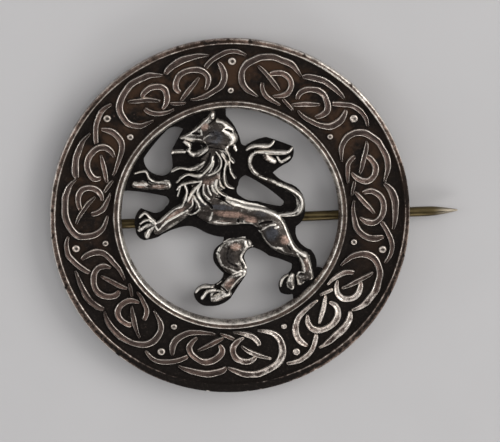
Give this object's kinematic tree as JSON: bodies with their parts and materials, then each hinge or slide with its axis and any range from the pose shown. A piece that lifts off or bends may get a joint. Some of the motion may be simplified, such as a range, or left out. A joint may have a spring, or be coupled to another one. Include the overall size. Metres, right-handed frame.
{
  "type": "silver brooch",
  "caption": "Round pierced silver brooch: a border of interlaced strands and dots round a rampant lion, with a hinged pin and a hook catch on the back.",
  "frame": {"origin": "middle of the bottom face of the box round the whole brooch, lying on its back findings", "axes": "+X along the pin towards its point, +Y towards the top of the figure, +Z out of the front"},
  "size_m": [0.0546, 0.0486, 0.0045],
  "materials": {
    "silver": "cast silver, darkened in the recesses and worn bright on the edges",
    "pin_brass": "drawn brass wire, browned, with fine lengthwise marks"
  },
  "bodies": {
    "root": {"plate": "silver", "hinge_rivet": "pin_brass"},
    "pin": {"pin_stem": "pin_brass"}
  },
  "joints": [
    {"name": "pin_hinge", "type": "hinge", "parent": "root", "child": "pin", "pos_m": [-0.02305, -0.00168, 0.0013], "axis": [-0.0366, 0.9993, 0], "range_deg": [0, 100]}
  ]
}
